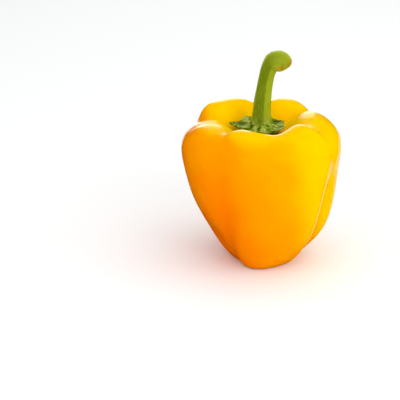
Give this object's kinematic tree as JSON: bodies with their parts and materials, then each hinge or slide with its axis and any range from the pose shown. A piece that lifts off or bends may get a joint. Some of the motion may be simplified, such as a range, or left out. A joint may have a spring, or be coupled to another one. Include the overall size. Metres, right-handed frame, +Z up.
{
  "type": "bell pepper",
  "caption": "Whole yellow bell pepper standing upright on its lobes, with a toothed green calyx in the stem cavity and a ribbed stem that hooks over at its cut end.",
  "frame": {"origin": "on the ground, under the middle of the fruit's box", "axes": "+Z up along the fruit's axis towards the stem; the stem hooks over towards +X, and its cut end looks to +X and -Y"},
  "size_m": [0.0874, 0.086, 0.1187],
  "materials": {
    "fruit_skin": "waxy glossy skin, yellow turning orange at the foot and in the furrows",
    "calyx_green": "leathery mottled dark green, with paler grey-green ribs",
    "stem_green": "fibrous satin green with paler ribs, corky yellow-brown at the cut end"
  },
  "bodies": {
    "root": {"fruit": "fruit_skin", "calyx": "calyx_green", "stem": "stem_green"}
  },
  "joints": []
}
